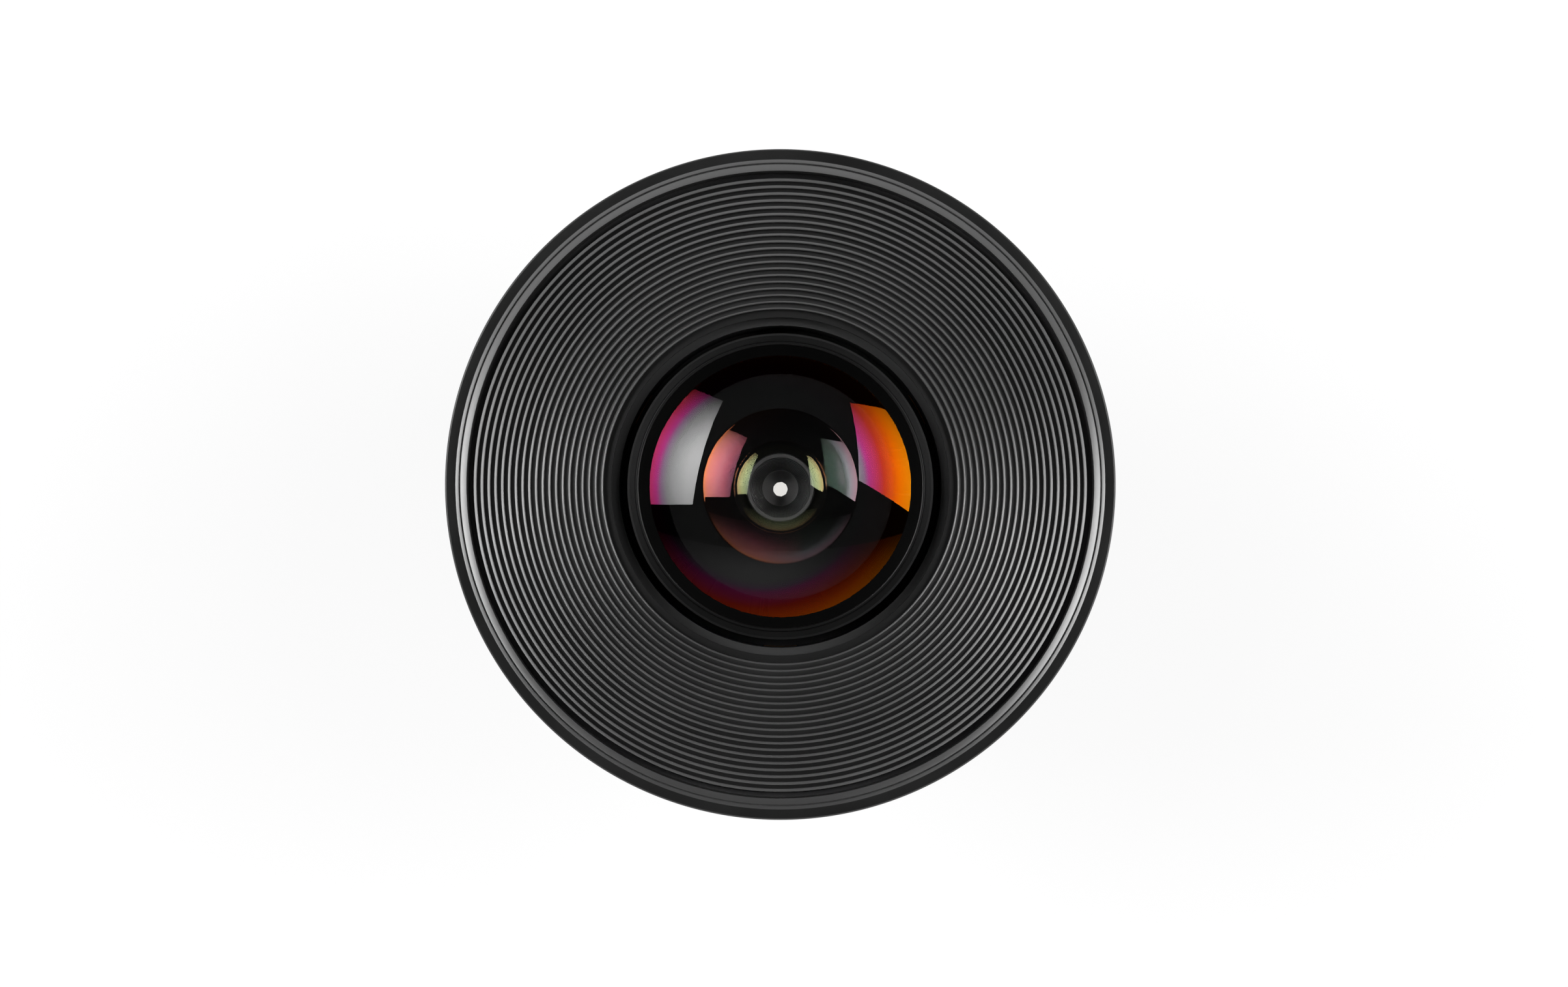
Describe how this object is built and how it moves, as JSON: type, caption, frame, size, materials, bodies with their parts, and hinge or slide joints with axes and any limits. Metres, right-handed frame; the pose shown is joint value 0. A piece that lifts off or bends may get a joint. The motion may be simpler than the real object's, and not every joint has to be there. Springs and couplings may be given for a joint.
{
  "type": "ultra-wide cine lens",
  "caption": "Ultra-wide cine prime lens with ribbed front funnel, geared focus and iris rings, bladed diaphragm and a four-eared positive-lock mount.",
  "frame": {"origin": "centre of the mount's seating face, on the optical axis", "axes": "+Z along the optical axis, out of the front glass towards the subject; +Y is up when the lens is on a level camera; the lens is modelled standing on its rear end"},
  "size_m": [0.114, 0.114, 0.119],
  "materials": {
    "polished_steel_mount": "turned and polished stainless steel",
    "brass_shim": "rolled brass",
    "steel_screws": "black oxide steel",
    "steel_pins": "ground steel",
    "matte_black_mask": "matte black paint on aluminium",
    "anodised_barrel": "black anodised, bead blasted",
    "anodised_inner": "black anodised",
    "anodised_index": "black anodised with engraved marks",
    "anodised_front_ring": "black anodised, turned",
    "matte_black_funnel": "matte black anodised ribs",
    "bronze_sleeve": "bronze",
    "anodised_focus_ring": "black anodised",
    "anodised_scale": "black anodised with engraved scale",
    "anodised_cell": "matte black anodised",
    "rubber_seal": "black nitrile",
    "anodised_bezel": "black anodised",
    "matte_black_baffle": "matte black anodised grooves",
    "coated_glass_front": "multicoated optical glass",
    "coated_glass_second": "multicoated optical glass",
    "coated_glass_inner": "multicoated optical glass",
    "coated_glass_rear": "multicoated optical glass",
    "anodised_iris_ring": "black anodised with engraved scale",
    "blackened_steel_blades": "matte black coated spring steel"
  },
  "bodies": {
    "housing": {"mount_flange": "polished_steel_mount", "mount_shim": "brass_shim", "mount_screws": "steel_screws", "rear_mask": "matte_black_mask", "rear_barrel": "anodised_barrel", "main_tube": "anodised_inner", "index_sleeve": "anodised_index", "stop_pin": "steel_pins", "bearing_ring": "anodised_inner", "front_barrel": "anodised_barrel", "front_ring": "anodised_front_ring", "front_ring_screws": "steel_screws", "ribbed_funnel": "matte_black_funnel"},
    "focus_group": {"focus_sleeve": "bronze_sleeve", "focus_ring": "anodised_focus_ring", "focus_scale": "anodised_scale", "focus_screws": "steel_screws", "stop_lug": "steel_pins"},
    "optical_block": {"carrier_ring": "bronze_sleeve", "carrier_keys": "bronze_sleeve", "optical_tube": "anodised_inner", "front_cell": "anodised_cell", "front_seal": "rubber_seal", "front_bezel": "anodised_bezel", "front_element": "coated_glass_front", "second_element": "coated_glass_second", "second_lock_ring": "anodised_cell", "grooved_baffle": "matte_black_baffle", "inner_cell": "anodised_cell", "third_element": "coated_glass_inner", "doublet_spacer": "anodised_cell", "doublet_front": "coated_glass_inner", "doublet_rear": "coated_glass_inner", "diaphragm_housing": "anodised_cell", "diaphragm_cover": "anodised_cell", "rear_cell": "anodised_cell", "rear_doublet_front": "coated_glass_inner", "rear_doublet_rear": "coated_glass_inner", "rear_doublet_ring": "anodised_cell", "rear_element": "coated_glass_rear", "rear_lock_ring": "anodised_cell"},
    "iris_drive": {"iris_actuator": "steel_pins"},
    "iris_ring_group": {"iris_ring": "anodised_iris_ring", "iris_lever": "steel_pins"},
    "blade_1": {"iris_blade_1": "blackened_steel_blades"},
    "blade_2": {"iris_blade_2": "blackened_steel_blades"},
    "blade_3": {"iris_blade_3": "blackened_steel_blades"},
    "blade_4": {"iris_blade_4": "blackened_steel_blades"},
    "blade_5": {"iris_blade_5": "blackened_steel_blades"},
    "blade_6": {"iris_blade_6": "blackened_steel_blades"},
    "blade_7": {"iris_blade_7": "blackened_steel_blades"},
    "blade_8": {"iris_blade_8": "blackened_steel_blades"},
    "blade_9": {"iris_blade_9": "blackened_steel_blades"}
  },
  "joints": [
    {"name": "focus_turn", "type": "hinge", "parent": "housing", "child": "focus_group", "pos_m": [0, 0, 0.056], "axis": [0, 0, 1], "range_deg": [0, 300]},
    {"name": "optics_slide", "type": "slide", "parent": "housing", "child": "optical_block", "axis": [0, 0, 1], "range_m": [0, 0.0012]},
    {"name": "iris_turn", "type": "hinge", "parent": "housing", "child": "iris_ring_group", "pos_m": [0, 0, 0.0294], "axis": [0, 0, 1], "range_deg": [-24, 10]},
    {"name": "iris_drive_turn", "type": "hinge", "parent": "optical_block", "child": "iris_drive", "pos_m": [0, 0, 0.0294], "axis": [0, 0, 1], "range_deg": [-24.05, 10.05]},
    {"name": "blade_1_turn", "type": "hinge", "parent": "optical_block", "child": "blade_1", "pos_m": [0.013, 0, 0.0274], "axis": [0, 0, 1], "range_deg": [-16.85, 7.05]},
    {"name": "blade_2_turn", "type": "hinge", "parent": "optical_block", "child": "blade_2", "pos_m": [0.00996, 0.00836, 0.0274], "axis": [0, 0, 1], "range_deg": [-16.85, 7.05]},
    {"name": "blade_3_turn", "type": "hinge", "parent": "optical_block", "child": "blade_3", "pos_m": [0.00226, 0.0128, 0.0274], "axis": [0, 0, 1], "range_deg": [-16.85, 7.05]},
    {"name": "blade_4_turn", "type": "hinge", "parent": "optical_block", "child": "blade_4", "pos_m": [-0.0065, 0.01126, 0.0274], "axis": [0, 0, 1], "range_deg": [-16.85, 7.05]},
    {"name": "blade_5_turn", "type": "hinge", "parent": "optical_block", "child": "blade_5", "pos_m": [-0.01222, 0.00445, 0.0274], "axis": [0, 0, 1], "range_deg": [-16.85, 7.05]},
    {"name": "blade_6_turn", "type": "hinge", "parent": "optical_block", "child": "blade_6", "pos_m": [-0.01222, -0.00445, 0.0274], "axis": [0, 0, 1], "range_deg": [-16.85, 7.05]},
    {"name": "blade_7_turn", "type": "hinge", "parent": "optical_block", "child": "blade_7", "pos_m": [-0.0065, -0.01126, 0.0274], "axis": [0, 0, 1], "range_deg": [-16.85, 7.05]},
    {"name": "blade_8_turn", "type": "hinge", "parent": "optical_block", "child": "blade_8", "pos_m": [0.00226, -0.0128, 0.0274], "axis": [0, 0, 1], "range_deg": [-16.85, 7.05]},
    {"name": "blade_9_turn", "type": "hinge", "parent": "optical_block", "child": "blade_9", "pos_m": [0.00996, -0.00836, 0.0274], "axis": [0, 0, 1], "range_deg": [-16.85, 7.05]}
  ],
  "couplings": [
    {"joint": "optics_slide", "follows": "focus_turn", "m_per_rad": 0.000229},
    {"joint": "iris_drive_turn", "follows": "iris_turn", "ratio": 1},
    {"joint": "blade_1_turn", "follows": "iris_turn", "ratio": 0.7},
    {"joint": "blade_2_turn", "follows": "iris_turn", "ratio": 0.7},
    {"joint": "blade_3_turn", "follows": "iris_turn", "ratio": 0.7},
    {"joint": "blade_4_turn", "follows": "iris_turn", "ratio": 0.7},
    {"joint": "blade_5_turn", "follows": "iris_turn", "ratio": 0.7},
    {"joint": "blade_6_turn", "follows": "iris_turn", "ratio": 0.7},
    {"joint": "blade_7_turn", "follows": "iris_turn", "ratio": 0.7},
    {"joint": "blade_8_turn", "follows": "iris_turn", "ratio": 0.7},
    {"joint": "blade_9_turn", "follows": "iris_turn", "ratio": 0.7}
  ]
}
